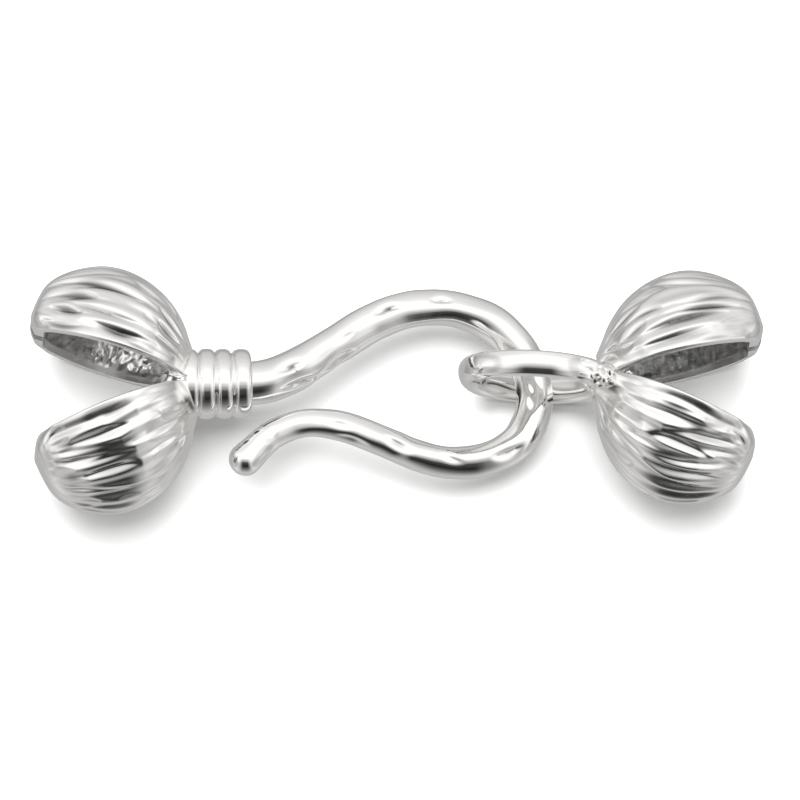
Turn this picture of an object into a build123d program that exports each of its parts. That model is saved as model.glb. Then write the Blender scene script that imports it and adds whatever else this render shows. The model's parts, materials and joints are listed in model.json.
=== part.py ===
from build123d import *
import os
from math import asin, cos, degrees, hypot, radians, sin

# A cast silver hook-and-eye clasp, fastened, with a pair of open fluted cups at each end.
# Lengths are in millimetres, +Z is up and the clasp lies along X on the plane Z = 0.

# Cups: half shells of one fluted ball, whose flat end has half of the hole for the cord
cup_length = 9.2
cup_radius = 5.1
cup_half_height = 4.65
cup_wall = 0.5
cup_end_wall = 1.0
cup_back_floor = 1.1
hollow_floor_share = 0.75
cord_hole_radius = 0.55
flute_depth = 0.26
hook_cup_back = 0.1
eye_cup_back = -0.68
hook_cup_open_deg = {"upper": 18.4, "lower": 19.8}
eye_cup_open_deg = {"upper": 16.0, "lower": 19.4}
hook_cup_bulge = {"upper": 0.96, "lower": 1.05}
eye_cup_bulge = {"upper": 0.98, "lower": 1.01}

# Neck and collar between the cups and the hook's wire
neck_radius = 1.75
collar_radius = 1.93
collar_groove_depth = 0.3
collar_length = 3.4
collar_rings = 4

# Hook: a tapering wire on a planar route
wire_diameter = 2.4
hook_length = 15.65
hook_width = 8.7
wire_twist_deg = 200
wire_lobes = 5
wire_groove_share = 0.07

# Eye: a flattened ring that stands on edge
ring_radius = 4.25
ring_thickness = 0.94
ring_width = 1.45
ring_to_pivot = 0.15

# Pose: the ring's edge is on the floor, and the wire lies in the bottom of the ring
rest_gap = 0.12
hook_yaw_deg = 2.1
eye_yaw_deg = -3.2

# Cup stations: shares of cup_length, of cup_radius, of cup_half_height and of flute_depth
CUP_COLUMNS = ("along", "out", "up", "flute")
CUP_STATIONS = [
    (0.000, 0.300, 0.330, 0.15),
    (0.058, 0.450, 0.510, 0.35),
    (0.106, 0.578, 0.650, 0.65),
    (0.164, 0.697, 0.775, 0.90),
    (0.232, 0.800, 0.880, 1.00),
    (0.310, 0.885, 0.955, 1.00),
    (0.387, 0.944, 0.992, 1.00),
    (0.484, 0.988, 1.000, 1.00),
    (0.580, 1.000, 0.967, 1.00),
    (0.677, 0.973, 0.902, 0.90),
    (0.755, 0.919, 0.821, 0.70),
    (0.832, 0.840, 0.723, 0.40),
    (0.900, 0.746, 0.625, 0.10),
    (0.952, 0.637, 0.538, 0.00),
    (0.977, 0.548, 0.467, 0.00),
    (0.992, 0.430, 0.385, 0.00),
    (1.000, 0.300, 0.293, 0.00),
]

# Relative widths of the flutes round half a ball, from one rim to the other
FLUTE_WIDTHS = (5, 7, 6, 8, 5, 7, 9, 6, 8, 6, 7, 5, 8, 6, 7, 5)

# Hook stations: shares of hook_length from the collar, of hook_width from the axis, and of wire_diameter
HOOK_COLUMNS = ("along", "across", "thick")
HOOK_STATIONS = [
    (-0.060, 0.000, 0.97),
    (0.000, 0.000, 1.00),
    (0.080, 0.024, 1.02),
    (0.185, 0.110, 1.01),
    (0.310, 0.248, 0.93),
    (0.445, 0.387, 0.92),
    (0.590, 0.466, 0.89),
    (0.745, 0.457, 0.87),
    (0.880, 0.348, 0.92),
    (0.966, 0.167, 0.90),
    (1.003, -0.035, 0.87),
    (0.997, -0.227, 0.87),
    (0.937, -0.402, 0.86),
    (0.840, -0.500, 0.83),
    (0.720, -0.528, 0.79),
    (0.595, -0.485, 0.76),
    (0.460, -0.385, 0.74),
    (0.325, -0.292, 0.73),
    (0.190, -0.262, 0.68),
    (0.070, -0.333, 0.69),
    (-0.026, -0.488, 0.76),
]

# Sections of the wire's round tip, as degrees from its equator to its pole
TIP_DEG = (25, 48, 66, 80)


def row(columns, values):
    """One table row as a dictionary."""
    return dict(zip(columns, values))


def flute_angles():
    """Angles of the grooves between the flutes, in degrees from one rim to the other."""
    total = sum(FLUTE_WIDTHS)
    angles, done = [-90.0], 0
    for width in FLUTE_WIDTHS:
        done += width
        angles.append(-90.0 + 180.0 * done / total)
    return angles


def cup_point(x, out, up, angle):
    """A point on a cup's section; 0 degrees points away from the rim's plane."""
    return Vector(x, out * cos(radians(angle)), up * sin(radians(angle)))


def cup_section(station):
    """Half an oval with a scalloped edge: one arc for each flute and a straight rim."""
    s = row(CUP_COLUMNS, station)
    x, out, up = s["along"] * cup_length, s["out"] * cup_radius, s["up"] * cup_half_height
    depth = s["flute"] * flute_depth
    angles = flute_angles()
    edges = []
    for k, (a, b) in enumerate(zip(angles, angles[1:])):
        start = 0 if k == 0 else depth
        end = 0 if k == len(FLUTE_WIDTHS) - 1 else depth
        first = cup_point(x, out - start, up - start, a)
        last = cup_point(x, out - end, up - end, b)
        edges.append(ThreePointArc(first, cup_point(x, out, up, (a + b) / 2), last))
    edges.append(Line(cup_point(x, out, up, 90), cup_point(x, out, up, -90)))
    return make_face(edges)


def hollow_half_sizes():
    """The hollow's place along the cup and its half sizes, one wall and one groove inside the outline."""
    rows = [row(CUP_COLUMNS, s) for s in CUP_STATIONS]
    outline = [(s["along"] * cup_length, s["out"] * cup_radius, s["up"] * cup_half_height) for s in rows]
    inset = cup_wall + flute_depth
    inside = []
    for before, here, after in zip(outline, outline[1:], outline[2:]):
        run = after[0] - before[0]
        out, up = [here[k] - inset * hypot(1, (after[k] - before[k]) / run) for k in (1, 2)]
        if cup_back_floor < here[0] < cup_length - cup_end_wall:
            inside.append((here[0], out, up))
    return inside


def cup_hollow():
    """The oval hollow inside a ball, with a flat floor at each end."""
    inside = hollow_half_sizes()
    x, out, up = inside[0]
    back = (cup_back_floor, out * hollow_floor_share, up * hollow_floor_share)
    x, out, up = inside[-1]
    high = cup_length - cup_end_wall
    end = (high, out - (high - x), up - (high - x))
    sections = []
    for x, out, up in [back] + inside + [end]:
        across = Plane(origin=(x, 0, 0), x_dir=(0, 1, 0), z_dir=(1, 0, 0))
        sections.append(across * Ellipse(out, up))
    return loft(sections)


def cup(bulge):
    """A half shell along +X from its back, bulging towards +Y by its radius times bulge."""
    shell = loft([cup_section(s) for s in CUP_STATIONS]) - cup_hollow()
    if bulge != 1:
        shell = scale(shell, (1, bulge, 1))
    hole = Cylinder(cord_hole_radius, 3 * cup_end_wall, rotation=(0, 90, 0))
    return shell - Pos(cup_length, 0, 0) * hole


def cup_frame(which, open_deg, back, side):
    """Where a cup goes: bent open about the pivot at the origin, with side 1 towards +X, or -1."""
    facing = Rot(0, 0 if side > 0 else 180, 0) * Pos(back, 0, 0)
    if which == "upper":
        return Rot(0, 0, side * open_deg[which]) * facing
    return Rot(0, 0, -side * open_deg[which]) * Rot(180, 0, 0) * facing


def cup_pair(open_deg, bulge, back, side):
    """Two cups that meet at the pivot."""
    upper, lower = [cup_frame(which, open_deg, back, side) * cup(bulge[which]) for which in bulge]
    return upper + lower


def neck():
    """The knob of metal that holds both cups, with its poles on X."""
    return Rot(0, 90, 0) * Sphere(neck_radius)


def collar():
    """Plain rings side by side, as one turned outline about X."""
    pitch = collar_length / collar_rings
    groove_r = collar_radius - collar_groove_depth
    edges = []
    for k in range(collar_rings):
        low, high = k * pitch, (k + 1) * pitch
        middle = Vector((low + high) / 2, collar_radius, 0)
        edges.append(ThreePointArc(Vector(low, groove_r, 0), middle, Vector(high, groove_r, 0)))
    start, end = Vector(0, 0, 0), Vector(collar_length, 0, 0)
    edges.append(Line(Vector(collar_length, groove_r, 0), end))
    edges.append(Line(end, start))
    edges.append(Line(start, Vector(0, groove_r, 0)))
    return revolve(make_face(edges), Axis.X)


def hook_points():
    """The wire's centre line in the plane Z = 0."""
    rows = [row(HOOK_COLUMNS, s) for s in HOOK_STATIONS]
    return [Vector(collar_length + s["along"] * hook_length, s["across"] * hook_width, 0) for s in rows]


def hook_seat():
    """The wire's station that is furthest from the collar, where the ring hangs: its place and radius."""
    furthest = max(range(len(HOOK_STATIONS)), key=lambda k: row(HOOK_COLUMNS, HOOK_STATIONS[k])["along"])
    thick = row(HOOK_COLUMNS, HOOK_STATIONS[furthest])["thick"]
    return hook_points()[furthest], thick * wire_diameter / 2


def wire_section(plane, radius, turn):
    """A round section with shallow grooves between broad lobes, turned about the wire."""
    low = radius * (1 - wire_groove_share)
    step = 360 / wire_lobes
    edges = []
    for k in range(wire_lobes):
        a, b = radians(turn + k * step), radians(turn + (k + 1) * step)
        m = (a + b) / 2
        first = plane.from_local_coords(Vector(low * cos(a), low * sin(a), 0))
        middle = plane.from_local_coords(Vector(radius * cos(m), radius * sin(m), 0))
        last = plane.from_local_coords(Vector(low * cos(b), low * sin(b), 0))
        edges.append(ThreePointArc(first, middle, last))
    return make_face(edges)


def wire():
    """The hook's wire, lofted from inside the collar along its route to a round tip."""
    points = hook_points()
    last = len(points) - 1
    sections = []
    for k, (point, station) in enumerate(zip(points, HOOK_STATIONS)):
        along = points[min(k + 1, last)] - points[max(k - 1, 0)]
        radius = row(HOOK_COLUMNS, station)["thick"] * wire_diameter / 2
        sections.append(wire_section(wire_plane(point, along), radius, wire_twist_deg * k / last))
    for angle in TIP_DEG:
        place = points[-1] + along.normalized() * radius * sin(radians(angle))
        size = radius * cos(radians(angle))
        sections.append(wire_section(wire_plane(place, along), size, wire_twist_deg))
    return loft(sections)


def wire_plane(point, along):
    """The plane across the wire at a point, with its first axis upright."""
    return Plane(origin=point, x_dir=(0, 0, 1), z_dir=along)


def eye_ring():
    """A flattened ring in the plane Y = 0, whose edge stops just short of the pivot at the origin."""
    middle = ring_radius - ring_thickness / 2
    section = Plane.XZ * Pos(middle, 0) * Ellipse(ring_thickness / 2, ring_width / 2)
    ring = revolve(section, Axis.Z)
    return Pos(-ring_centre_to_pivot(), 0, 0) * Rot(90, 0, 0) * ring


def ring_centre_to_pivot():
    """How far the middle of the ring is from the pivot."""
    return ring_radius + ring_to_pivot


def cup_centre(open_deg, back):
    """How far the middle of the two cups' tallest place is from the pivot, along X."""
    tallest = max((row(CUP_COLUMNS, s) for s in CUP_STATIONS), key=lambda s: s["up"])
    reach = back + tallest["along"] * cup_length
    return reach * (cos(radians(open_deg["upper"])) + cos(radians(open_deg["lower"]))) / 2


def hook_half():
    """Cups, neck, collar and wire, cast in one."""
    pair = cup_pair(hook_cup_open_deg, hook_cup_bulge, hook_cup_back, -1)
    return pair + neck() + collar() + wire()


def eye_half():
    """Ring, neck and cups, soldered into one."""
    return cup_pair(eye_cup_open_deg, eye_cup_bulge, eye_cup_back, 1) + neck() + eye_ring()


def hook_place():
    """The hook half leans on its cups until its wire is just above the ring's lower inside."""
    seat, seat_radius = hook_seat()
    seat_height = ring_thickness + rest_gap + seat_radius
    centre = cup_centre(hook_cup_open_deg, hook_cup_back)
    pitch = asin((cup_half_height - seat_height) / (seat.X + centre))
    pivot_height = cup_half_height - centre * sin(pitch)
    return Pos(0, 0, pivot_height) * Rot(0, 0, hook_yaw_deg) * Rot(0, degrees(pitch), 0)


def eye_place(seat):
    """The eye half leans on its cups until its ring touches the floor, round the wire's seat."""
    centre = cup_centre(eye_cup_open_deg, eye_cup_back)
    reach = ring_centre_to_pivot()
    pitch = asin((cup_half_height - ring_radius) / (centre + reach))
    turn = Rot(0, 0, eye_yaw_deg) * Rot(0, -degrees(pitch), 0)
    ring_centre = Vector(turn.position) + (turn * Pos(-reach, 0, 0)).position
    return Pos(seat.X - ring_centre.X, seat.Y - ring_centre.Y, ring_radius - ring_centre.Z) * turn


def main():
    os.makedirs("parts", exist_ok=True)
    place = hook_place()
    seat = (place * Pos(*hook_seat()[0])).position
    halves = {"hook_half": place * hook_half(), "eye_half": eye_place(seat) * eye_half()}
    box = Compound(list(halves.values())).bounding_box()
    centring = Pos(-box.center().X, -box.center().Y, 0)
    for name, half in halves.items():
        export_step(centring * half, f"parts/{name}.step")


main()
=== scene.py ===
import bpy
import json
import random
from math import cos, pi, radians, sin
from types import SimpleNamespace
import numpy as np
from mathutils import Matrix, Vector, noise


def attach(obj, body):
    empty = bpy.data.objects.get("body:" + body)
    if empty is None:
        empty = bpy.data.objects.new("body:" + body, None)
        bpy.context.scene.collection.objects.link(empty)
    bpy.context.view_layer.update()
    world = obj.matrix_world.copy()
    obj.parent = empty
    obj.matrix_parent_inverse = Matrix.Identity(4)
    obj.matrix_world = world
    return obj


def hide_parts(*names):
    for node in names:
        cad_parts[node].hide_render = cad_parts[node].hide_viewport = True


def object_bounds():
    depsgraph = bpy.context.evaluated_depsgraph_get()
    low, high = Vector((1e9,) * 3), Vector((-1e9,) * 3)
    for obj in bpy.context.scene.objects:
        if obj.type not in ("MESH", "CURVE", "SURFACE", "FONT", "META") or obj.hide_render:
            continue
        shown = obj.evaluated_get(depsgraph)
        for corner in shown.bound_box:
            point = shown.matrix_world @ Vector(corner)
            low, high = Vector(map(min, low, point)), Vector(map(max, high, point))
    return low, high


# A fastened silver hook-and-eye clasp with a pair of open fluted cups at each end.
# The pieces are worked out in millimetres, in each half's own frame: its pivot is at the origin, the
# eye's cups point along +X and the hook's along -X, and +Z is up. They are put in the row frame, in
# metres, at the end.

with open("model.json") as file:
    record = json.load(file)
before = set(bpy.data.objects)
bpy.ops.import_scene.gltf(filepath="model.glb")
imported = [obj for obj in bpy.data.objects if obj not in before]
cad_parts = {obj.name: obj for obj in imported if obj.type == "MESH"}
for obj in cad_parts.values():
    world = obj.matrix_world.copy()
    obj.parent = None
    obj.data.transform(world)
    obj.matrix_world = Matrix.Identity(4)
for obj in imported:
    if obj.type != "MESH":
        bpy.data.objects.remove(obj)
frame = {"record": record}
cad_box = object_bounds()
MM = 0.001
RNG = random.Random(7)

# Camera: the photo's angle, as a long lens
IMAGE_PX = 800
LENS_MM, SENSOR_MM = 180.0, 36.0
CAMERA_ELEVATION_DEG = 79.0
PX_PER_MM = 18.15
AIM = np.array([0.25, -0.215, 3.0])
FOCAL_PX = IMAGE_PX * LENS_MM / SENSOR_MM
CAMERA_DISTANCE = FOCAL_PX / PX_PER_MM
TO_CAMERA = np.array([0.0, -cos(radians(CAMERA_ELEVATION_DEG)), sin(radians(CAMERA_ELEVATION_DEG))])
RIGHT = np.array([1.0, 0.0, 0.0])
UP = np.cross(TO_CAMERA, RIGHT)
EYE = AIM + CAMERA_DISTANCE * TO_CAMERA
# Below this share of the way round to the camera, a surface is too edge-on to read a pixel from
EDGE_ON = {"cup": 0.02, "wire": 0.05}

# The three finishes, as each mesh's material slots, and how rough the polished ones are at least and most
BRIGHT, SATIN, CAST = 0, 1, 2
BRIGHT_ROUGHNESS, SATIN_ROUGHNESS, CAST_ROUGHNESS = (0.06, 0.13), (0.16, 0.25), 0.27
# The silver's own colour, and the near-black painted shade that creases and gouges are darkened towards
PLAIN_SILVER, PAINTED_SHADE_COLOR = (0.93, 0.925, 0.915, 1), (0.20, 0.198, 0.195, 1)
CAST_DARK, CAST_LIGHT = (0.38, 0.38, 0.385, 1), (0.88, 0.875, 0.86, 1)
SHARP_EDGE_DEG = 38

# Painted shade darkens the metal where creases and gouges are deeper than the first depth, and is full at the
# second; it stands in for the shade and dark reflections in them, most on the upper cups
PAINTED_SHADE_FROM, PAINTED_SHADE_FULL = 0.08, 0.27
PAINTED_SHADE_STRENGTH = {"upper": 1.0, "lower": 0.5, "wire": 0.7}

# Cups, as in the CAD source; the stations are shares of the length, radius and half height
CUP_LENGTH, CUP_RADIUS, CUP_HALF_HEIGHT = 9.2, 5.1, 4.65
CUP_WALL, END_WALL, BACK_FLOOR = 0.62, 1.0, 1.1
CORD_HOLE_RADIUS, CUTTER_PAST_END = 0.55, 0.3
CUP_STATIONS = [
    (0.000, 0.300, 0.330), (0.058, 0.450, 0.510), (0.106, 0.578, 0.650), (0.164, 0.697, 0.775),
    (0.232, 0.800, 0.880), (0.310, 0.885, 0.955), (0.387, 0.944, 0.992), (0.484, 0.988, 1.000),
    (0.580, 1.000, 0.967), (0.677, 0.973, 0.902), (0.755, 0.919, 0.821), (0.832, 0.840, 0.723),
    (0.900, 0.746, 0.625), (0.952, 0.637, 0.538), (0.977, 0.548, 0.467), (0.992, 0.430, 0.385),
    (1.000, 0.300, 0.293),
]
CUP_ROWS, CUP_COLUMNS = 104, 208
# This share of the columns lies between the rim nearer the camera and this angle past the middle
SEEN_SHARE, SEEN_TO_DEG = 0.72, -12
# Rims: the round of the edge, in steps, how creases and ribs fade towards it, and the filed strip inside
RIM_ROUND, RIM_ROUND_STEPS, RIM_FADE_DEG = 0.10, (0.35, 0.7, 1.0), 6
FILED_RIM = 0.42
# Each cup's end draws in towards its rim: how far in, over how much of its depth, and from and up to
# which share of its length; then a few rows close it, all but a slit
END_ROUND = {"in": 0.5, "out": 1.0, "from": 0.84, "full": 0.97}
END_CAP_ROWS, END_CAP_CLOSED = 8, 0.98
# Creases and ribs come in and fade out at these shares of the cup's length
CREASED_PART = (0.0, 0.08, 0.93, 0.99)
RIBBED_PART = (0.05, 0.42, 0.80, 0.95)
CREASE_DEEPER, CREASE_WIDER, THINNEST_CREASE, SHORTEST_CREASE = 1.15, 1.3, 0.19, 0.3
CREASE_FLANKS = (0.8, 1.5)
RIB_DEPTH = {"upper": 0.06, "lower": 0.13}
RIB_SPACING_DEG, RIB_WANDER_DEG = 11.3, 5
CUP_UNEVENNESS = 0.03
# Roughness inside the cups, as the size and the height of each kind of lump
HOLLOW_WORMS, HOLLOW_GRAINS, HOLLOW_LUMPS = (0.36, 0.13), (0.25, 0.10), (1.2, 0.12)
HOLLOW_DEEPER = 0.02
# The hollow draws in at its ends by a share of its size, over a reach; before that it has a least size
HOLLOW_BACK, HOLLOW_END = {"draw": 0.16, "reach": 0.5}, {"draw": 0.1, "reach": 0.3}
HOLLOW_LEAST, HOLLOW_PROFILE_STEPS = 0.5, 400
# Where the wall of a hollow is worn satin: the patch's middle along the cup, and its reach
WORN_PATCH = {"hook": {"along": 3.9, "reach": 1.6}}
NOISE_SEED = {"upper": {"waves": 5.0, "hollow": 3.0}, "lower": {"waves": 9.0, "hollow": 17.0}}

# Creases on the side that the photo doesn't show, drawn at random between these limits
HIDDEN_CREASES = {
    "count": 9, "first_deg": -14, "apart_deg": 8.5, "stray_deg": 2, "bend_deg": 4, "lean_deg": 3,
    "start": (0.10, 0.28), "stop": (0.66, 0.88), "depth": (0.12, 0.19), "width": (0.22, 0.30),
}

# Necks, with their wrinkles, and the solder where the ring meets the eye's cups
NECKS = {
    "hook": {"radius": 1.5, "shift": 0.0, "wrinkle": 0.6, "seed": 21.0},
    "eye": {"radius": 1.4, "shift": -0.3, "wrinkle": 1.0, "seed": 33.0},
}
SOLDER_RADIUS, SOLDER_PLACE = 1.0, np.array([-0.35, -0.15, 1.75])

# Collar
COLLAR_RADIUS, COLLAR_LENGTH, COLLAR_GROOVE, COLLAR_SQUARENESS = 1.93, 3.4, 0.32, 2.6
# Where each of its rings starts along the collar, and where the last one stops
COLLAR_EDGES = (-0.35, 0.52, 1.46, 2.40, COLLAR_LENGTH)
COLLAR_UNEVENNESS = {"oval": 0.008, "lobed": 0.006, "leaning": 0.03}

# Wire; the stations are shares of the hook's length and width, and of the wire's diameter
WIRE_DIAMETER, HOOK_LENGTH, HOOK_WIDTH = 2.4, 15.65, 8.7
HOOK_STATIONS = [
    (-0.060, 0.000, 0.97), (0.000, 0.000, 1.00), (0.080, 0.024, 1.02), (0.185, 0.110, 1.01),
    (0.310, 0.248, 0.93), (0.445, 0.387, 0.92), (0.590, 0.466, 0.89), (0.745, 0.457, 0.87),
    (0.880, 0.348, 0.92), (0.966, 0.167, 0.90), (1.003, -0.035, 0.87), (0.997, -0.227, 0.87),
    (0.937, -0.402, 0.86), (0.840, -0.500, 0.83), (0.720, -0.528, 0.79), (0.595, -0.485, 0.76),
    (0.460, -0.385, 0.74), (0.325, -0.292, 0.73), (0.190, -0.262, 0.68), (0.070, -0.333, 0.69),
    (-0.026, -0.488, 0.76),
]
WIRE_ROWS, WIRE_COLUMNS, ROUTE_STEPS = 340, 60, 4000
TIP_ROWS, TIP_FROM, TIP_TO, TIP_LENGTH = 16, 0.08, 0.97, 0.95
GOUGE_DEEPER, GOUGE_WIDER, SHORTEST_GOUGE = 1.5, 1.3, 0.3
GOUGE_FLANKS = (0.5, 1.4)
FACETS, FACET_DEPTH, FACET_TWIST, FACET_WANDER = 3, 0.06, 0.16, 1.2
WIRE_UNEVENNESS, WIRE_SUNK = 0.045, 0.01
# Where the wire's facets come in, from its start, and where they fade out, from its end
WIRE_FADE_IN, WIRE_FADE_OUT = (1.0, 2.6), (1.5, 0.2)

# Gouges on the wire's underside, drawn at random between these limits
HIDDEN_GOUGES = {
    "count": 34, "from_start": 1, "from_end": 5, "length": (1.6, 4.6), "slant": (-0.35, 0.55),
    "angle": (pi * 1.02, 2 * pi * 0.98), "depth": (0.06, 0.13), "width": (0.16, 0.3),
}

# Ring; its flat is a rounded oblong on the outside, with a raised outline and a slight lean
RING_RADIUS, RING_THICKNESS, RING_WIDTH, RING_TO_PIVOT = 4.25, 0.94, 1.45, 0.15
RING_ROWS, RING_COLUMNS, RING_ROUNDNESS = 320, 64, 0.92
RING_FLAT = {
    "middle_deg": 92, "reach_deg": 68, "half_width": 0.62, "slope_width": 0.6, "least_slope": 0.4,
    "line": 0.035, "line_width": 0.07, "step": 0.03, "step_width": 0.06, "sunk": 0.06, "lean": 0.10,
}
RING_UNEVENNESS = 0.02

# Each half: the way its cups point, how far out they start, how wide they open, and how deep they bulge
HALVES = {
    "hook": {
        "side": -1, "back": 0.1,
        "open": {"upper": 18.4, "lower": 19.8}, "bulge": {"upper": 0.96, "lower": 1.05},
    },
    "eye": {
        "side": 1, "back": -0.68,
        "open": {"upper": 16.0, "lower": 19.4}, "bulge": {"upper": 0.98, "lower": 1.01},
    },
}

# The room's light, as degrees from the vertical towards the camera's side, and how much comes from there:
# along the middle, where there is a dark card, and towards the sides
ROOM_MIDDLE = [
    (-180, 0.48), (-150, 0.52), (-136, 0.40), (-124, 0.42), (-114, 0.58), (-92, 0.66), (-70, 0.78),
    (-50, 0.92), (-38, 1.10), (-12, 1.30), (2, 1.12), (13, 0.72), (24, 0.38), (36, 0.06), (60, 0.02),
    (70, 0.06), (82, 0.14), (94, 0.26), (106, 0.42), (122, 0.56), (150, 0.52), (180, 0.48),
]
ROOM_ASIDE = [
    (-180, 0.48), (-150, 0.52), (-136, 0.42), (-124, 0.46), (-114, 0.62), (-92, 0.74), (-60, 0.86),
    (-30, 1.08), (0, 1.22), (30, 1.00), (46, 0.66), (70, 0.58), (90, 0.66), (120, 0.76), (150, 0.60),
    (180, 0.48),
]
# As shares of the way to the side: where the middle gives way to the sides, and how the light dims there
MIDDLE_TO_ASIDE = [(0.0, 0.0), (0.26, 0.0), (0.74, 1.0), (1.0, 1.0)]
SIDE_DIMMING = [(0.0, 1.0), (0.70, 1.0), (0.82, 0.74), (0.88, 0.75), (0.95, 0.95), (1.0, 1.0)]
ROOM_COLOR = (1.0, 0.995, 0.985, 1)
# The soft box and the floor, in metres and watts
KEY_PLACE, KEY_SIZE, KEY_POWER = (-0.03, 0.18, 0.53), 0.46, 5.4
FLOOR_HALF_SIZE, FLOOR_COLOR = 3.0, (0.9, 0.9, 0.9, 1)

# Creases that show in the photo: three pixels of each, then its depth and half width in millimetres
CREASES = {
    ("hook", "upper"): [
        ((56, 282), (90, 274), (130, 278), 0.14, 0.15),
        ((41, 294), (85, 282), (146, 302), 0.24, 0.28),
        ((47, 298), (66, 295), (98, 300), 0.25, 0.30),
        ((62, 302), (100, 311), (136, 324), 0.17, 0.18),
        ((48, 308), (64, 310), (82, 314), 0.26, 0.22),
        ((39, 320), (52, 325), (82, 326), 0.21, 0.28),
        ((95, 324), (118, 332), (140, 340), 0.25, 0.24),
        ((124, 342), (138, 348), (152, 355), 0.17, 0.20),
        ((159, 308), (172, 324), (185, 345), 0.25, 0.22),
        ((160, 322), (169, 333), (180, 346), 0.25, 0.28),
        ((160, 294), (169, 304), (178, 321), 0.18, 0.16),
        ((135, 282), (147, 290), (158, 300), 0.11, 0.14),
        ((142, 312), (150, 318), (158, 325), 0.10, 0.14),
        ((156, 337), (168, 346), (178, 356), 0.13, 0.22),
        ((70, 272), (105, 268), (140, 278), 0.10, 0.14),
    ],
    ("hook", "lower"): [
        ((78, 411), (100, 402), (125, 394), 0.09, 0.18),
        ((100, 420), (117, 412), (137, 404), 0.15, 0.28),
        ((68, 443), (95, 433), (128, 422), 0.17, 0.26),
        ((58, 453), (85, 448), (120, 438), 0.19, 0.28),
        ((54, 461), (82, 459), (110, 451), 0.17, 0.28),
        ((79, 465), (100, 460), (136, 448), 0.21, 0.30),
        ((84, 477), (100, 472), (142, 463), 0.21, 0.34),
        ((54, 479), (70, 480), (92, 481), 0.12, 0.18),
        ((58, 485), (100, 490), (148, 481), 0.15, 0.18),
        ((86, 493), (125, 491), (165, 470), 0.18, 0.22),
        ((62, 495), (80, 499), (102, 500), 0.12, 0.18),
        ((116, 499), (128, 496), (141, 493), 0.10, 0.16),
        ((44, 447), (50, 436), (62, 426), 0.13, 0.22),
        ((48, 445), (58, 441), (67, 436), 0.10, 0.14),
        ((46, 468), (58, 469), (74, 469), 0.11, 0.18),
        ((146, 434), (166, 424), (186, 409), 0.16, 0.22),
        ((158, 409), (170, 411), (184, 404), 0.16, 0.26),
        ((150, 451), (166, 440), (182, 430), 0.08, 0.14),
        ((151, 460), (170, 446), (187, 430), 0.09, 0.14),
        ((160, 483), (173, 472), (186, 452), 0.14, 0.20),
        ((80, 506), (115, 505), (155, 494), 0.07, 0.14),
    ],
    ("eye", "upper"): [
        ((618, 318), (632, 306), (650, 296), 0.18, 0.18),
        ((604, 337), (611, 321), (620, 306), 0.25, 0.22),
        ((605, 347), (617, 327), (640, 305), 0.22, 0.22),
        ((624, 328), (638, 316), (664, 308), 0.21, 0.22),
        ((648, 333), (680, 319), (731, 312), 0.25, 0.22),
        ((678, 311), (706, 306), (742, 307), 0.27, 0.22),
        ((690, 302), (718, 297), (750, 302), 0.20, 0.18),
        ((644, 348), (671, 339), (712, 326), 0.18, 0.22),
        ((697, 343), (712, 339), (735, 337), 0.14, 0.18),
        ((722, 324), (733, 321), (745, 319), 0.06, 0.14),
        ((622, 344), (632, 333), (645, 322), 0.21, 0.26),
        ((640, 291), (675, 283), (714, 285), 0.13, 0.14),
        ((604, 355), (618, 351), (632, 344), 0.15, 0.22),
        ((650, 283), (690, 277), (735, 286), 0.10, 0.14),
    ],
    ("eye", "lower"): [
        ((668, 391), (696, 402), (724, 413), 0.08, 0.14),
        ((645, 402), (690, 418), (724, 432), 0.15, 0.20),
        ((662, 426), (694, 433), (737, 444), 0.21, 0.26),
        ((672, 434), (700, 444), (729, 450), 0.16, 0.24),
        ((640, 432), (682, 442), (714, 459), 0.18, 0.26),
        ((632, 432), (664, 447), (700, 457), 0.16, 0.22),
        ((712, 452), (730, 453), (752, 452), 0.10, 0.18),
        ((716, 456), (730, 461), (747, 463), 0.11, 0.20),
        ((627, 435), (652, 453), (700, 463), 0.18, 0.26),
        ((643, 456), (684, 473), (741, 472), 0.21, 0.26),
        ((612, 427), (650, 470), (735, 480), 0.20, 0.24),
        ((616, 454), (652, 485), (727, 488), 0.15, 0.20),
        ((599, 414), (608, 438), (632, 462), 0.16, 0.20),
        ((603, 404), (620, 432), (645, 455), 0.15, 0.20),
        ((597, 407), (601, 435), (612, 460), 0.14, 0.20),
        ((615, 406), (628, 416), (642, 425), 0.14, 0.24),
        ((732, 430), (743, 439), (755, 448), 0.12, 0.16),
        ((705, 422), (718, 427), (729, 428), 0.12, 0.22),
        ((655, 395), (678, 405), (706, 416), 0.09, 0.14),
        ((640, 494), (680, 500), (725, 495), 0.07, 0.14),
    ],
}

# Gouges in the wire that show in the photo: the pixels of each one's ends, its depth and half width
GOUGES = [
    ((273, 374), (309, 362), 0.13, 0.20),
    ((271, 392), (326, 374), 0.13, 0.26),
    ((318, 378), (362, 346), 0.10, 0.24),
    ((332, 347), (358, 330), 0.05, 0.14),
    ((371, 316), (405, 306), 0.15, 0.16),
    ((428, 301), (454, 302), 0.12, 0.14),
    ((526, 380), (529, 414), 0.07, 0.18),
    ((491, 457), (528, 441), 0.14, 0.20),
    ((438, 451), (467, 462), 0.06, 0.16),
    ((381, 433), (416, 452), 0.12, 0.30),
    ((326, 421), (356, 427), 0.05, 0.14),
    ((334, 435), (371, 447), 0.09, 0.22),
    ((268, 436), (277, 427), 0.05, 0.12),
]


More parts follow.
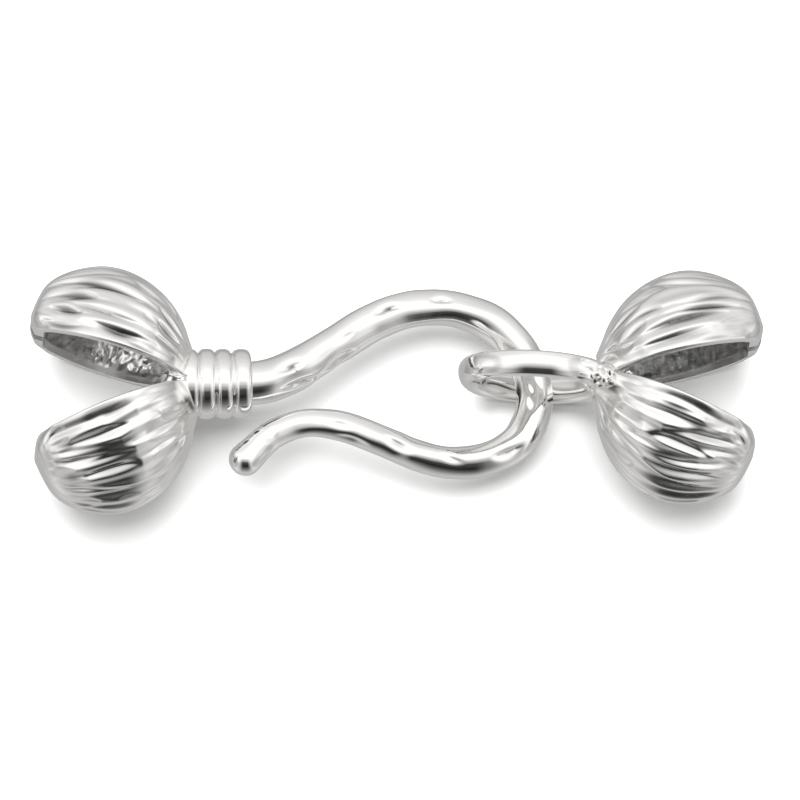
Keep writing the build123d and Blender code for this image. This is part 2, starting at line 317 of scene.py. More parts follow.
def spline(knots, values, at):
    """A smooth curve through values at knots, read at each place of at (Catmull-Rom)."""
    knots, values, at = np.asarray(knots, float), np.asarray(values, float), np.asarray(at, float)
    slope = np.gradient(values, knots, axis=0)
    k = np.clip(np.searchsorted(knots, at) - 1, 0, len(knots) - 2)
    step = knots[k + 1] - knots[k]
    t = np.clip((at - knots[k]) / step, 0, 1)
    if values.ndim == 2:
        step, t = step[:, None], t[:, None]
    a, b = values[k], values[k + 1]
    h00, h10 = 2 * t**3 - 3 * t**2 + 1, t**3 - 2 * t**2 + t
    h01, h11 = -2 * t**3 + 3 * t**2, t**3 - t**2
    return h00 * a + h10 * step * slope[k] + h01 * b + h11 * step * slope[k + 1]


def path_length(points):
    """How far along a line each of its points is."""
    return np.concatenate([[0], np.cumsum(np.hypot(*np.diff(points, axis=0).T))])


def smoothstep(low, high, x):
    """A soft step from 0 at low to 1 at high."""
    t = np.clip((x - low) / (high - low), 0, 1)
    return t * t * (3 - 2 * t)


def in_and_out(x, starts, full, fades, gone):
    """0 up to starts, 1 from full to fades, and 0 again from gone on."""
    return smoothstep(starts, full, x) * (1 - smoothstep(fades, gone, x))


def lumps(points, size, seed):
    """Smooth noise between about -1 and 1 at each point, with lumps of the given size."""
    flat = points.reshape(-1, 3) / size + seed
    values = [noise.noise(Vector(p)) for p in flat]
    return np.array(values).reshape(points.shape[:-1])


def shards(points, size, seed):
    """Angular lumps between about 0 and 1 at each point, as crumpled solder has."""
    flat = points.reshape(-1, 3) / size + seed
    values = []
    for p in flat:
        near = noise.voronoi(Vector(p))[0]
        values.append(min(near[1] - near[0], 1.0))
    return np.array(values).reshape(points.shape[:-1])


def to_pixels(points):
    """Where points of the row frame, in millimetres, are in the photo."""
    v = points - EYE
    depth = -(v @ TO_CAMERA)
    across = IMAGE_PX / 2 + FOCAL_PX * (v @ RIGHT) / depth
    down = IMAGE_PX / 2 - FOCAL_PX * (v @ UP) / depth
    return np.stack([across, down], -1)


def marks_on(surface, marks, place, edge_on):
    """Marks given by pixels, a depth and a half width, with each pixel as a place on the surface."""
    pixels = to_pixels(moved(surface.points, place))
    facing = (surface.normal @ place[:3, :3].T) @ TO_CAMERA > edge_on
    found = []
    for *line, depth, width in marks:
        places = []
        for pixel in line:
            gap = np.hypot(pixels[..., 0] - pixel[0], pixels[..., 1] - pixel[1])
            nearest = np.unravel_index(np.argmin(np.where(facing, gap, np.inf)), gap.shape)
            places.append((surface.along[nearest], surface.angle[nearest]))
        found.append((places, depth, width))
    return found


def flanks(off, steep, gentle):
    """A groove's depth from 1 at its middle to 0, with a steep flank where off is above 0."""
    return np.exp(-np.abs(off / np.where(off > 0, steep, gentle)) ** 1.5)


def deepest(layers):
    """The deepest of several layers of depths at each place, softened where they cross."""
    return sum(layer**4 for layer in layers) ** 0.25


def turn(axis, degrees):
    """A 4 by 4 rotation about an axis."""
    return np.array(Matrix.Rotation(radians(degrees), 4, axis))


def shift(x):
    """A 4 by 4 move along X."""
    return np.array(Matrix.Translation((x, 0.0, 0.0)))


def moved(points, place):
    """Points under a 4 by 4 matrix."""
    return points @ place[:3, :3].T + place[:3, 3]


def half_place(half):
    """A half's frame in the row frame, from its two cord holes, whose axes meet at the pivot."""
    facts = HALVES[half]
    mounts = {m["name"]: m for m in frame["record"]["mounts"]}
    upper, lower = mounts[f"{half}_cord_hole_upper"], mounts[f"{half}_cord_hole_lower"]
    reach = facts["back"] + CUP_LENGTH - END_WALL / 2
    axis = np.array(upper["axis"])
    pivot = np.array(upper["pos_m"]) / MM - reach * axis
    z = np.cross(np.array(lower["axis"]), axis) * facts["side"]
    z /= np.linalg.norm(z)
    opening = Matrix.Rotation(radians(-facts["side"] * facts["open"]["upper"]), 3, Vector(z))
    x = facts["side"] * (np.array(opening) @ axis)
    place = np.eye(4)
    place[:3, 0], place[:3, 1], place[:3, 2], place[:3, 3] = x, np.cross(z, x), z, pivot
    return place


def cup_place(half, which):
    """A cup's frame in its half's frame: from its back along X, bulging towards +Y."""
    facts = HALVES[half]
    side, opening = facts["side"], facts["open"][which]
    facing = turn("Y", 0 if side > 0 else 180) @ shift(facts["back"])
    if which == "upper":
        return turn("Z", side * opening) @ facing
    return turn("Z", -side * opening) @ turn("X", 180) @ facing


# Meshes

def ring_faces(rows, columns, looped=False):
    """Four-sided faces between closed rings of points and, if looped, from the last ring to the first."""
    faces = []
    for i in range(rows if looped else rows - 1):
        after = (i + 1) % rows
        for j in range(columns):
            k = (j + 1) % columns
            faces.append((i * columns + j, i * columns + k, after * columns + k, after * columns + j))
    return faces


def mesh_object(name, points, faces, finish=BRIGHT):
    """A mesh with the three finishes in its slots, all of it in one of them."""
    mesh = bpy.data.meshes.new(name)
    mesh.from_pydata(points.reshape(-1, 3).tolist(), [], faces)
    for material in FINISHES:
        mesh.materials.append(material)
    mesh.polygons.foreach_set("material_index", [finish] * len(mesh.polygons))
    obj = bpy.data.objects.new(name, mesh)
    bpy.context.scene.collection.objects.link(obj)
    return obj


def tube(name, rings, finish=BRIGHT):
    """A closed skin over a stack of closed rings of points."""
    rows, columns = rings.shape[:2]
    faces = ring_faces(rows, columns)
    faces.append(tuple(range(columns))[::-1])
    faces.append(tuple(range((rows - 1) * columns, rows * columns)))
    return mesh_object(name, rings, faces, finish)


def add_painted_shade(obj, dark):
    """Stores how much painted shade darkens the metal at each point, from 0 to 1, where its material reads
    it.
    """
    painted_shade = obj.data.attributes.new("painted_shade", "FLOAT", "POINT")
    painted_shade.data.foreach_set("value", dark.ravel())


def combine(target, other, operation):
    """Joins other to target, or cuts it away, and deletes it."""
    modifier = target.modifiers.new("join", "BOOLEAN")
    modifier.operation = operation
    modifier.solver = "MANIFOLD"
    modifier.object = other
    depsgraph = bpy.context.evaluated_depsgraph_get()
    result = bpy.data.meshes.new_from_object(target.evaluated_get(depsgraph))
    target.modifiers.clear()
    target.data = result
    bpy.data.objects.remove(other)


# Cups

def cup_profile(rows):
    """The cup's smooth outline at even steps: along it, out from the rim's plane, and up."""
    stations = np.array(CUP_STATIONS) * (CUP_LENGTH, CUP_RADIUS, CUP_HALF_HEIGHT)
    run = path_length(stations[:, :2])
    return spline(run, stations, np.linspace(0, run[-1], rows)).T


def cup_angles(upright):
    """The angles round a cup from rim to rim, with more of them on the side that the camera sees."""
    seen = int(CUP_COLUMNS * SEEN_SHARE)
    shown = np.linspace(90, SEEN_TO_DEG, seen, endpoint=False)
    hidden = np.linspace(SEEN_TO_DEG, -90, CUP_COLUMNS - seen)
    angles = np.concatenate([shown, hidden])
    return angles if upright > 0 else -angles[::-1]


def smooth_cup(bulge, upright):
    """The outside before carving: its points and normals, and where on the cup each of them is."""
    along, out, up = cup_profile(CUP_ROWS)
    x, angle = along[:, None] * np.ones((1, CUP_COLUMNS)), np.ones((CUP_ROWS, 1)) * cup_angles(upright)
    a = np.radians(angle)
    points = np.stack([x, bulge * out[:, None] * np.cos(a), up[:, None] * np.sin(a)], -1)
    normal = np.cross(np.gradient(points, axis=1), np.gradient(points, axis=0))
    normal /= np.linalg.norm(normal, axis=-1, keepdims=True)
    normal *= np.sign((normal[..., 1:] * points[..., 1:]).sum(-1))[CUP_ROWS // 2, CUP_COLUMNS // 2]
    radius = out[:, None] * np.ones_like(a)
    return SimpleNamespace(points=points, normal=normal, along=x, angle=angle, radius=radius)


def hidden_creases(upright):
    """Creases for the side that the photo doesn't show, like those that it shows."""
    limits = HIDDEN_CREASES
    stray, bend, lean = limits["stray_deg"], limits["bend_deg"], limits["lean_deg"]
    made = []
    for k in range(limits["count"]):
        angle = (limits["first_deg"] - limits["apart_deg"] * k + RNG.uniform(-stray, stray)) * upright
        start, stop = RNG.uniform(*limits["start"]), RNG.uniform(*limits["stop"])
        bent = RNG.uniform(-bend, bend)
        places = [
            (start * CUP_LENGTH, angle + RNG.uniform(-lean, lean)),
            ((start + stop) / 2 * CUP_LENGTH, angle + bent),
            (stop * CUP_LENGTH, angle - bent / 2),
        ]
        made.append((places, RNG.uniform(*limits["depth"]), RNG.uniform(*limits["width"])))
    return made


def crease_depth(cup, crease, steep):
    """How deep one crease is at each place: one flank steep, the other gentle, and its ends tapering out."""
    smallest, end_width, end_depth, fade = 0.3, 0.6, 0.3, 0.9
    places, depth, width = crease
    (x0, a0), (x1, a1), (x2, a2) = sorted(places)
    if x2 - x0 < SHORTEST_CREASE:
        return np.zeros_like(cup.along)
    size = np.clip(cup.radius / CUP_RADIUS, smallest, 1)
    wide = CREASE_WIDER * max(width, THINNEST_CREASE) * size**0.5
    t = (cup.along - x0) / (x2 - x0)
    t1 = min(max((x1 - x0) / (x2 - x0), 0.2), 0.8)
    bow = (a1 - a0 - (a2 - a0) * t1) / (t1 * (t1 - 1))
    on = np.clip(t, 0, 1)
    middle = a0 + (a2 - a0) * on + bow * on * (on - 1)
    swell = np.sin(pi * on)
    wide = wide * (end_width + (1 - end_width) * swell)
    off = np.radians(cup.angle - middle) * cup.radius / wide * steep
    past = np.maximum(np.maximum(x0 - cup.along, cup.along - x2), 0)
    ends = (end_depth + (1 - end_depth) * swell**0.7) * np.exp(-((past / fade) ** 2))
    return CREASE_DEEPER * depth * size * flanks(off, *CREASE_FLANKS) * ends


def cup_ribs(cup, which):
    """How much broad ribs, and the unevenness of a hand-worked wax, sink the surface at each place."""
    a = np.radians(cup.angle)
    rib_noise = np.stack([cup.along * 0.5, a * 2, np.full_like(a, 3.0)], -1)
    wander = RIB_WANDER_DEG * lumps(rib_noise, 1.6, seed=11.0)
    ribs = 0.5 - 0.5 * np.cos(np.radians((cup.angle + wander) * 360 / RIB_SPACING_DEG))
    wave_noise = np.stack([cup.along * 0.3, a * CUP_RADIUS, np.full_like(a, 7.0)], -1)
    waves = lumps(wave_noise, 1.3, NOISE_SEED[which]["waves"])
    fade = in_and_out(cup.along / CUP_LENGTH, *RIBBED_PART)
    return (RIB_DEPTH[which] * ribs + CUP_UNEVENNESS * waves) * fade


def rim_lines(along, up):
    """The lines of points that round off the lower rim from the outside in, then the upper one back out."""
    lines = []
    for side, steps in ((-1, RIM_ROUND_STEPS), (1, RIM_ROUND_STEPS[::-1])):
        for t in steps:
            turn_in = RIM_ROUND * (1 - cos(t * pi / 2))
            y = np.full_like(up, -RIM_ROUND * sin(t * pi / 2))
            lines.append(np.stack([along, y, side * (up - turn_in)], -1))
    return np.stack(lines, 1)


def close_end(section, along):
    """Draws the end in towards the rim, and adds the rows that close it."""
    near_rim = np.clip(1 - section[..., 1] / END_ROUND["out"], 0, 1)
    near_end = smoothstep(END_ROUND["from"], END_ROUND["full"], along / CUP_LENGTH)[:, None]
    section[..., 0] -= END_ROUND["in"] * near_rim**2 * near_end
    cap = [section[-1] * (1, 1, 1 - t) for t in np.linspace(0, END_CAP_CLOSED, END_CAP_ROWS)[1:]]
    return np.concatenate([section, np.array(cap)])


def cup_shell(half, which, place):
    """One fluted half ball with a flat back and rounded rim, hollowed, with half the cord's hole."""
    bulge = HALVES[half]["bulge"][which]
    upright = 1 if (which == "upper") == (half == "eye") else -1
    cup = smooth_cup(bulge, upright)
    creases = marks_on(cup, CREASES[half, which], place @ cup_place(half, which), EDGE_ON["cup"])
    creases += hidden_creases(upright)
    steep = upright if which == "lower" else -upright
    sunk = deepest(crease_depth(cup, crease, steep) for crease in creases)
    sunk = sunk * in_and_out(cup.along / CUP_LENGTH, *CREASED_PART)
    rim = np.minimum(np.abs(90 - np.abs(cup.angle)) / RIM_FADE_DEG, 1)
    height = -(sunk + cup_ribs(cup, which)) * rim
    carved = cup.points + cup.normal * height[..., None]

    along, _, up = cup_profile(CUP_ROWS)
    section = np.concatenate([carved, rim_lines(along, up)], 1)
    section[..., 1] += RIM_ROUND
    section = close_end(section, along)
    # Painted shade in the creases, darker where they are deeper, and strongest on the upper cups
    dark = np.zeros(section.shape[:2])
    dark[:CUP_ROWS, :CUP_COLUMNS] = PAINTED_SHADE_STRENGTH[which] * smoothstep(PAINTED_SHADE_FROM, PAINTED_SHADE_FULL, sunk)
    shell = tube("cup_shell", section[:, ::-1], SATIN)
    add_painted_shade(shell, dark[:, ::-1])
    combine(shell, cup_hollow(bulge, NOISE_SEED[which]["hollow"], WORN_PATCH.get(half)), "DIFFERENCE")
    combine(shell, cord_hole(), "DIFFERENCE")
    shell.data.transform(Matrix(cup_place(half, which)))
    return shell


def hollow_size(bulge, x):
    """How far the hollow reaches out from the rim's plane, and up, at each place along it."""
    along, out, up = cup_profile(HOLLOW_PROFILE_STEPS)
    inset = CUP_WALL * np.hypot(1, np.interp(x, along, np.gradient(out, along)))
    at_back = np.exp(-((x - x[0]) / HOLLOW_BACK["reach"]) ** 2)
    at_end = np.exp(-((x - x[-1]) / HOLLOW_END["reach"]) ** 2)
    drawn_in = 1 - HOLLOW_BACK["draw"] * at_back - HOLLOW_END["draw"] * at_end
    out_in = np.maximum(np.interp(x, along, out) - inset, HOLLOW_LEAST) * drawn_in
    up_in = np.maximum(np.interp(x, along, up) - inset, HOLLOW_LEAST) * drawn_in
    return bulge * out_in, up_in


def cup_hollow(bulge, seed, worn):
    """The cutter for the hollow: a filed strip along the rim, and rough walls inside it, satin where worn."""
    rows, strip, inside, outside = 74, 5, 74, 12
    rings, deep = [], []
    x = np.linspace(BACK_FLOOR, CUP_LENGTH - END_WALL, rows)
    for at, out, up in zip(x, *hollow_size(bulge, x)):
        wall = pi / 2 - np.arcsin(min(FILED_RIM / out, 0.9))
        angles = np.concatenate([
            np.linspace(-pi / 2, -wall, strip, endpoint=False),
            np.linspace(-wall, wall, inside, endpoint=False),
            np.linspace(wall, pi / 2, strip, endpoint=False),
            np.linspace(pi / 2, 3 * pi / 2, outside, endpoint=False),
        ])
        rings.append(np.stack([np.full_like(angles, at), out * np.cos(angles), up * np.sin(angles)], -1))
        deep.append(smoothstep(0.0, 0.06, wall - np.abs(angles)))
    rings, deep = np.array(rings), np.array(deep)

    worms = 1 - 2 * np.abs(lumps(rings, HOLLOW_WORMS[0], seed + 5))
    grains, broad = lumps(rings, HOLLOW_GRAINS[0], seed), lumps(rings, HOLLOW_LUMPS[0], seed)
    rough = HOLLOW_WORMS[1] * worms + HOLLOW_GRAINS[1] * grains + HOLLOW_LUMPS[1] * broad
    into_wall = rings * np.array([0.0, 1.0, 1.0])
    into_wall /= np.linalg.norm(into_wall, axis=-1, keepdims=True)
    rings += into_wall * ((rough + HOLLOW_DEEPER) * deep)[..., None]

    hollow = tube("cup_hollow", rings, CAST)
    satin = np.ones(rings.shape[:2], bool)
    satin[:, strip:strip + inside] = False
    if worn:
        satin |= np.abs(rings[..., 0] - worn["along"]) / worn["reach"] + 0.5 * lumps(rings, 0.5, seed + 9) < 1
    for k in np.flatnonzero(satin[:-1]):
        hollow.data.polygons[k].material_index = SATIN
    return hollow


def cord_hole():
    """The cutter for the round hole that two cups share for the cord."""
    a = np.linspace(0, 2 * pi, 40, endpoint=False)
    y, z = CORD_HOLE_RADIUS * np.cos(a), CORD_HOLE_RADIUS * np.sin(a)
    ends = (CUP_LENGTH - 1.5 * END_WALL, CUP_LENGTH + CUTTER_PAST_END)
    return tube("cord_hole", np.array([np.stack([np.full_like(a, x), y, z], -1) for x in ends]), CAST)


# Neck, solder and collar

def unit_ball(rows, columns, pole_gap):
    """Points of a ball of radius 1, in rings round its X axis that stop a little short of the poles."""
    polar = np.linspace(pole_gap, pi - pole_gap, rows)[:, None]
    a = np.linspace(0, 2 * pi, columns, endpoint=False)[None, :]
    x = np.cos(polar) * np.ones_like(a)
    return np.stack([x, np.sin(polar) * np.cos(a), np.sin(polar) * np.sin(a)], -1)


def neck(half):
    """The knob of metal between the cups, wrinkled in folds and grains."""
    facts = NECKS[half]
    unit = unit_ball(rows=56, columns=84, pole_gap=0.04)
    folds, grains = shards(unit, 0.55, facts["seed"]), shards(unit, 0.24, seed=2.0)
    size = facts["radius"] * (1 + facts["wrinkle"] * (0.20 * folds - 0.08 + 0.07 * grains))
    knob = unit * size[..., None]
    knob[..., 0] += facts["shift"]
    return tube("neck", knob[::-1])


def solder():
    """The crumpled star of solder that shows where the ring meets the eye's cups."""
    unit = unit_ball(rows=40, columns=60, pole_gap=0.05)
    folds, grains = shards(unit, 0.95, seed=5.0), shards(unit, 0.4, seed=8.0)
    size = SOLDER_RADIUS * (0.74 + 0.55 * folds + 0.07 * grains)
    return tube("solder", (unit * size[..., None] + SOLDER_PLACE)[::-1])


def collar():
    """Plain rings side by side, each a little uneven."""
    rows_each, columns = 18, 96
    oval, lobed, leaning = COLLAR_UNEVENNESS["oval"], COLLAR_UNEVENNESS["lobed"], COLLAR_UNEVENNESS["leaning"]
    a = np.linspace(0, 2 * pi, columns, endpoint=False)
    rings = []
    for k, (low, high) in enumerate(zip(COLLAR_EDGES, COLLAR_EDGES[1:])):
        for t in np.linspace(0.02, 0.98, rows_each):
            round_part = (1 - abs(2 * t - 1) ** COLLAR_SQUARENESS) ** 0.5
            r = COLLAR_RADIUS - COLLAR_GROOVE * (1 - round_part)
            r = r * (1 + oval * np.sin(a * 2 + k * 1.7) + lobed * np.sin(a * 3 + k))
            x = low + (high - low) * t + leaning * np.sin(a + k * 2.1)
            rings.append(np.stack([x, r * np.cos(a), r * np.sin(a)], -1))
    return tube("collar", np.array(rings))


# Wire

def hook_route(rows):
    """The wire's centre line and radius, at even steps along it, and its length."""
    stations = np.array(HOOK_STATIONS)
    knots = np.linspace(0, 1, len(stations))
    route = np.stack([COLLAR_LENGTH + stations[:, 0] * HOOK_LENGTH, stations[:, 1] * HOOK_WIDTH], -1)
    fine_t = np.linspace(0, 1, ROUTE_STEPS)
    run = path_length(spline(knots, route, fine_t))
    at = np.interp(np.linspace(0, run[-1], rows), run, fine_t)
    middle = spline(knots, route, at)
    radius = spline(knots, stations[:, 2], at) * WIRE_DIAMETER / 2
    return middle, radius, run[-1]


def smooth_wire():
    """The round bar before carving: its points and normals, and where on the bar each of them is."""
    middle, radius, length = hook_route(WIRE_ROWS)
    step = np.gradient(middle, axis=0)
    step /= np.linalg.norm(step, axis=1, keepdims=True)
    level = np.zeros(WIRE_ROWS)
    middle = np.stack([middle[:, 0], middle[:, 1], level], -1)
    ahead = np.stack([step[:, 0], step[:, 1], level], -1)
    sideways = np.stack([-step[:, 1], step[:, 0], level], -1)
    a = np.linspace(0, 2 * pi, WIRE_COLUMNS, endpoint=False)
    out = sideways[:, None, :] * np.cos(a)[None, :, None] + np.array([0, 0, 1.0]) * np.sin(a)[None, :, None]
    return SimpleNamespace(
        points=middle[:, None, :] + out * radius[:, None, None],
        normal=out,
        along=np.linspace(0, length, WIRE_ROWS)[:, None] * np.ones_like(a),
        angle=np.ones((WIRE_ROWS, 1)) * a,
        radius=radius[:, None],
        middle=middle,
        ahead=ahead,
        length=length,
    )


def hidden_gouges(length):
    """Gouges for the underside, which the photo doesn't show, like those that it shows."""
    limits = HIDDEN_GOUGES
    made = []
    for _ in range(limits["count"]):
        start = RNG.uniform(limits["from_start"], length - limits["from_end"])
        size = RNG.uniform(*limits["length"])
        angle, slant = RNG.uniform(*limits["angle"]), RNG.uniform(*limits["slant"])
        ends = [(start, angle), (start + size, angle + slant)]
        made.append((ends, RNG.uniform(*limits["depth"]), RNG.uniform(*limits["width"])))
    return made


def gouge_depth(bar, gouge):
    """How deep one gouge is at each place: lens-shaped, with one flank steep and the other gentle."""
    ends, depth, width = gouge
    end_width = 0.35
    (s0, a0), (s1, a1) = sorted(ends)
    t = (bar.along - s0) / max(s1 - s0, SHORTEST_GOUGE)
    off = (bar.angle - (a0 + (a1 - a0) * t) + pi) % (2 * pi) - pi
    swell = np.sin(pi * np.clip(t, 0, 1))
    off = off * bar.radius / (GOUGE_WIDER * width * (end_width + (1 - end_width) * swell))
    return GOUGE_DEEPER * depth * flanks(off, *GOUGE_FLANKS) * swell**1.6


def wire_tip(bar, height):
    """Rings that shrink to round off the wire's end."""
    size = bar.radius[-1, 0]
    tip = []
    for t in np.linspace(TIP_FROM, TIP_TO, TIP_ROWS):
        outward = bar.normal[-1] * (size + height[-1][:, None]) * cos(t * pi / 2)
        tip.append(bar.middle[-1] + outward + bar.ahead[-1] * size * TIP_LENGTH * sin(t * pi / 2))
    return np.array(tip)


def wire(place):
    """The hook's wire: a softly faceted round bar, whose facets twist slowly along it, with gouges."""
    bar = smooth_wire()
    gouges = marks_on(bar, GOUGES, place, EDGE_ON["wire"]) + hidden_gouges(bar.length)
    sunk = deepest(gouge_depth(bar, gouge) for gouge in gouges)
    twist = bar.angle + bar.along * FACET_TWIST
    facet_noise = np.stack([bar.along * 0.25, bar.angle, np.zeros_like(bar.angle)], -1)
    wander = FACET_WANDER * lumps(facet_noise, 1.0, seed=4.0)
    facets = 0.5 - 0.5 * np.cos(twist * FACETS + wander)
    waves = lumps(bar.points, 1.5, seed=8.0)
    fade = in_and_out(bar.along, *WIRE_FADE_IN, bar.length - WIRE_FADE_OUT[0], bar.length - WIRE_FADE_OUT[1])
    height = -sunk - (FACET_DEPTH * facets - WIRE_UNEVENNESS * waves + WIRE_SUNK) * fade
    carved = bar.points + bar.normal * height[..., None]
    rings = np.concatenate([carved, wire_tip(bar, height)])
    # Painted shade in the gouges, darker where they are deeper
    dark = np.zeros(rings.shape[:2])
    dark[:WIRE_ROWS] = PAINTED_SHADE_STRENGTH["wire"] * smoothstep(PAINTED_SHADE_FROM, PAINTED_SHADE_FULL, sunk * fade)
    wire_bar = tube("wire", rings)
    add_painted_shade(wire_bar, dark)
    return wire_bar


# Ring

def inside_flat(psi, across):
    """How far inside the outline of the ring's flat each place is, in millimetres."""
    reach = radians(RING_FLAT["reach_deg"]) * RING_RADIUS
    along = (np.degrees(psi) - RING_FLAT["middle_deg"]) / RING_FLAT["reach_deg"]
    wide = across / RING_FLAT["half_width"]
    inside = 1 - along**4 - wide**2
    slope = np.hypot(4 * np.abs(along) ** 3 / reach, 2 * np.abs(wide) / RING_FLAT["slope_width"])
    return inside / np.maximum(slope, RING_FLAT["least_slope"])


def eye_ring():
    """The flattened ring, standing on edge, with a flat outlined by a fine raised line."""
    psi = np.linspace(0, 2 * pi, RING_ROWS, endpoint=False)[:, None] * np.ones((1, RING_COLUMNS))
    t = np.linspace(0, 2 * pi, RING_COLUMNS, endpoint=False)[None, :] * np.ones((RING_ROWS, 1))
    out = signed_power(np.cos(t), RING_ROUNDNESS) * RING_THICKNESS / 2
    across = signed_power(np.sin(t), RING_ROUNDNESS) * RING_WIDTH / 2
    gap = inside_flat(psi, across)
    outer = np.clip(np.cos(t) * 4, 0, 1)
    line = RING_FLAT["line"] * np.exp(-(gap / RING_FLAT["line_width"]) ** 2)
    step = RING_FLAT["step"] * smoothstep(-RING_FLAT["step_width"], RING_FLAT["step_width"], gap)
    raised = outer * (line + step)
    reach = RING_RADIUS - RING_THICKNESS / 2 + out - RING_FLAT["sunk"] * outer + raised
    reach = reach + RING_FLAT["lean"] * across * outer
    points = np.stack([reach * np.cos(psi), across, reach * np.sin(psi)], -1)
    points += (RING_UNEVENNESS * lumps(points, 1.3, seed=6.0))[..., None] * points / RING_RADIUS
    points[..., 0] -= RING_RADIUS + RING_TO_PIVOT
    return mesh_object("ring", points, ring_faces(RING_ROWS, RING_COLUMNS, looped=True))


def signed_power(values, power):
    """A power that keeps each value's sign."""
    return np.sign(values) * np.abs(values) ** power


# Materials

def polished_silver(name, roughness):
    """Polished silver: faint waves of hand polishing, a slightly duller skin in places, and painted shade in
    the creases and gouges.
    """
    material, tree, shader = new_material(name)
    shader.inputs["Metallic"].default_value = 1.0
    # Painted shade: the stored share turns the base colour from the silver's own to near black
    painted_shade = tree.nodes.new("ShaderNodeAttribute")
    painted_shade.attribute_name = "painted_shade"
    add_tone(tree, shader, painted_shade.outputs["Fac"], ((0.0, PLAIN_SILVER), (1.0, PAINTED_SHADE_COLOR)))
    rough = tree.nodes.new("ShaderNodeMapRange")
    rough.inputs["From Min"].default_value, rough.inputs["From Max"].default_value = 0.35, 0.7
    rough.inputs["To Min"].default_value, rough.inputs["To Max"].default_value = roughness
    cloud = node_noise(tree, lumps_per_metre=900, detail=3, roughness=0.5)
    tree.links.new(cloud, rough.inputs["Value"])
    tree.links.new(rough.outputs["Result"], shader.inputs["Roughness"])
    waves = node_noise(tree, lumps_per_metre=1400, detail=2, roughness=0.4)
    add_bump(tree, shader, waves, strength=0.12, distance=0.00003)
    return material


def cast_silver():
    """The rough, matt skin inside the cups, left as it was cast."""
    material, tree, shader = new_material("cast_silver")
    shader.inputs["Metallic"].default_value = 1.0
    shader.inputs["Roughness"].default_value = CAST_ROUGHNESS
    cloud = node_noise(tree, lumps_per_metre=1500, detail=6, roughness=0.65)
    add_tone(tree, shader, cloud, ((0.35, CAST_DARK), (0.72, CAST_LIGHT)))
    grain = node_noise(tree, lumps_per_metre=5200, detail=5, roughness=0.7)
    add_bump(tree, shader, grain, strength=0.9, distance=0.00008)
    return material


def floor_paper():
    """White paper with no shine."""
    material, _, shader = new_material("floor_paper")
    shader.inputs["Base Color"].default_value = FLOOR_COLOR
    shader.inputs["Roughness"].default_value = 1.0
    shader.inputs["Specular IOR Level"].default_value = 0.0
    return material


def new_material(name):
    """A material with its node tree and its main shader."""
    material = bpy.data.materials.new(name)
    material.use_nodes = True
    return material, material.node_tree, material.node_tree.nodes["Principled BSDF"]


def node_noise(tree, lumps_per_metre, detail, roughness):
    """Noise over the object's own coordinates."""
    place = tree.nodes.new("ShaderNodeTexCoord")
    cloud = tree.nodes.new("ShaderNodeTexNoise")
    cloud.inputs["Scale"].default_value = lumps_per_metre
    cloud.inputs["Detail"].default_value = detail
    cloud.inputs["Roughness"].default_value = roughness
    tree.links.new(place.outputs["Object"], cloud.inputs["Vector"])
    return cloud.outputs["Fac"]


def add_tone(tree, shader, source, stops):
    """Colours the metal by a value, between two stops of (value, colour)."""
    tone = tree.nodes.new("ShaderNodeValToRGB")
    for element, (position, color) in zip(tone.color_ramp.elements, stops):
        element.position = position
        element.color = color
    tree.links.new(source, tone.inputs["Fac"])
    tree.links.new(tone.outputs["Color"], shader.inputs["Base Color"])


def add_bump(tree, shader, height, strength, distance):
    """Tilts the shading by a height between 0 and 1, over a distance in metres."""
    bump = tree.nodes.new("ShaderNodeBump")
    bump.inputs["Strength"].default_value = strength
    bump.inputs["Distance"].default_value = distance
    tree.links.new(height, bump.inputs["Height"])
    tree.links.new(bump.outputs["Normal"], shader.inputs["Normal"])


# Studio

def floor():
    """White paper under the clasp, which fills the picture and which polished metal doesn't mirror."""
    low, size = cad_box[0][2], FLOOR_HALF_SIZE
    corners = [(-size, -size, low), (size, -size, low), (size, size, low), (-size, size, low)]
    mesh = bpy.data.meshes.new("floor")
    mesh.from_pydata(corners, [], [(0, 1, 2, 3)])
    mesh.materials.append(floor_paper())
    obj = bpy.data.objects.new("floor", mesh)
    bpy.context.scene.collection.objects.link(obj)
    obj.visible_glossy = False


def softbox():
    """A square light aimed at the middle of the floor, which polished metal doesn't mirror."""
    light = bpy.data.lights.new("softbox_key", "AREA")
    light.shape = "SQUARE"
    light.size = KEY_SIZE
    light.energy = KEY_POWER
    obj = bpy.data.objects.new("softbox_key", light)
    obj.location = KEY_PLACE
    obj.rotation_euler = (-Vector(KEY_PLACE)).to_track_quat("-Z", "Y").to_euler()
    obj.visible_glossy = False
    bpy.context.scene.collection.objects.link(obj)


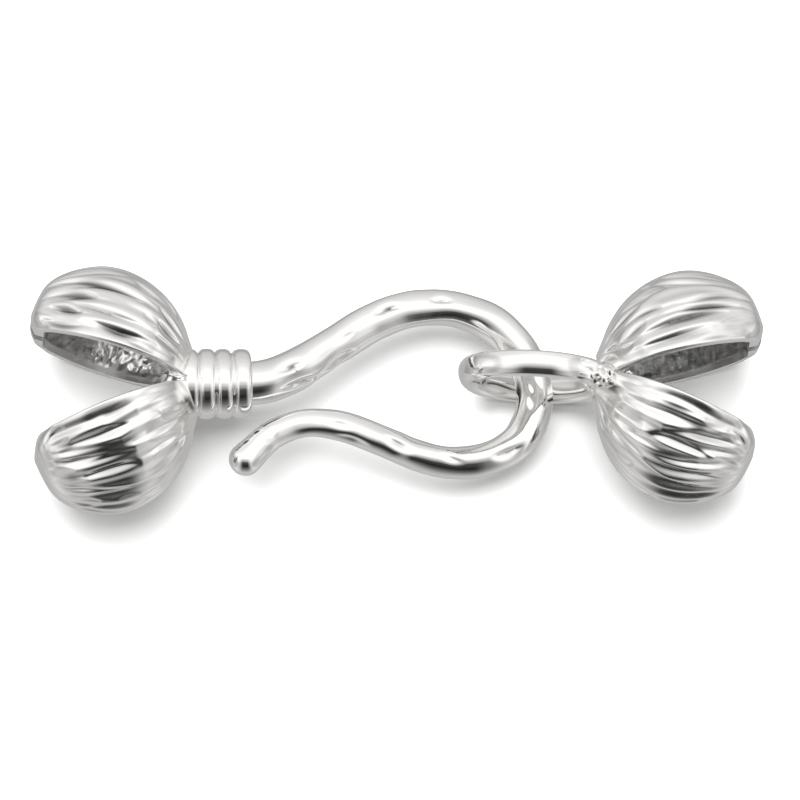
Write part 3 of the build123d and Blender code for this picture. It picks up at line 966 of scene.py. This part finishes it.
def room():
    """A plain room, bright overhead, dark towards the camera's side and grey at the sides."""
    world = bpy.data.worlds.new("room")
    world.use_nodes = True
    tree = world.node_tree
    coords = tree.nodes.new("ShaderNodeTexCoord")
    split = tree.nodes.new("ShaderNodeSeparateXYZ")
    tree.links.new(coords.outputs["Generated"], split.inputs["Vector"])
    front = math_node(tree, "MULTIPLY", split.outputs["Y"], -1.0)
    tilt = math_node(tree, "ARCTAN2", front, split.outputs["Z"])
    tilt = math_node(tree, "MULTIPLY_ADD", tilt, 1 / (2 * pi), 0.5)
    middle = ramp(tree, tilt, [((degrees + 180) / 360, value) for degrees, value in ROOM_MIDDLE])
    aside = ramp(tree, tilt, [((degrees + 180) / 360, value) for degrees, value in ROOM_ASIDE])
    away = math_node(tree, "ABSOLUTE", split.outputs["X"])
    share = ramp(tree, away, MIDDLE_TO_ASIDE)
    rest = math_node(tree, "SUBTRACT", 1.0, share)
    middle = math_node(tree, "MULTIPLY", middle, rest)
    both = math_node(tree, "MULTIPLY_ADD", aside, share, middle)
    both = math_node(tree, "MULTIPLY", both, ramp(tree, away, SIDE_DIMMING))
    background = tree.nodes["Background"]
    tree.links.new(both, background.inputs["Strength"])
    background.inputs["Color"].default_value = ROOM_COLOR
    return world


def math_node(tree, operation, *values):
    """A sum on values that are numbers or other nodes' outputs."""
    node = tree.nodes.new("ShaderNodeMath")
    node.operation = operation
    for socket, value in zip(node.inputs, values):
        if isinstance(value, (int, float)):
            socket.default_value = value
        else:
            tree.links.new(value, socket)
    return node.outputs[0]


def ramp(tree, source, stops):
    """A soft curve of brightness through stops of (place, value), which may pass 1."""
    top = max(value for place, value in stops)
    node = tree.nodes.new("ShaderNodeValToRGB")
    node.color_ramp.interpolation = "EASE"
    elements = node.color_ramp.elements
    while len(elements) < len(stops):
        elements.new(0.5)
    for element, (place, value) in zip(elements, stops):
        element.position = place
        element.color = (value / top, value / top, value / top, 1)
    tree.links.new(source, node.inputs["Fac"])
    return math_node(tree, "MULTIPLY", node.outputs["Color"], top)


def camera():
    """The camera that took the photo, as a long lens."""
    data = bpy.data.cameras.new("camera")
    data.lens, data.sensor_width = LENS_MM, SENSOR_MM
    data.clip_start, data.clip_end = 0.01, 10
    obj = bpy.data.objects.new("camera", data)
    matrix = Matrix.Identity(4)
    for k, axis in enumerate((RIGHT, UP, TO_CAMERA)):
        for row in range(3):
            matrix[row][k] = axis[row]
    obj.matrix_world = Matrix.Translation(Vector(EYE * MM)) @ matrix
    bpy.context.scene.collection.objects.link(obj)
    bpy.context.scene.camera = obj


def hand_in(obj, name, place, node):
    """Puts a finished half in the row frame, as the piece that stands for its CAD node."""
    obj.data.transform(Matrix(place))
    obj.data.transform(Matrix.Scale(MM, 4))
    obj.name = obj.data.name = name
    obj.data.polygons.foreach_set("use_smooth", [True] * len(obj.data.polygons))
    obj.data.set_sharp_from_angle(angle=radians(SHARP_EDGE_DEG))
    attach(obj, "root")
    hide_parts(node)
    print(name, "triangles", sum(len(p.vertices) - 2 for p in obj.data.polygons))


FINISHES = [
    polished_silver("bright_silver", BRIGHT_ROUGHNESS),
    polished_silver("satin_silver", SATIN_ROUGHNESS),
    cast_silver(),
]

hook_place = half_place("hook")
hook = cup_shell("hook", "upper", hook_place)
for other in (cup_shell("hook", "lower", hook_place), neck("hook"), collar(), wire(hook_place)):
    combine(hook, other, "UNION")
hand_in(hook, "hook_casting", hook_place, "hook_half")

eye_place = half_place("eye")
eye = cup_shell("eye", "upper", eye_place)
for other in (cup_shell("eye", "lower", eye_place), neck("eye"), solder(), eye_ring()):
    combine(eye, other, "UNION")
hand_in(eye, "eye_casting", eye_place, "eye_half")

floor()
softbox()
bpy.context.scene.world = room()
bpy.context.scene.view_settings.view_transform = "Standard"
camera()
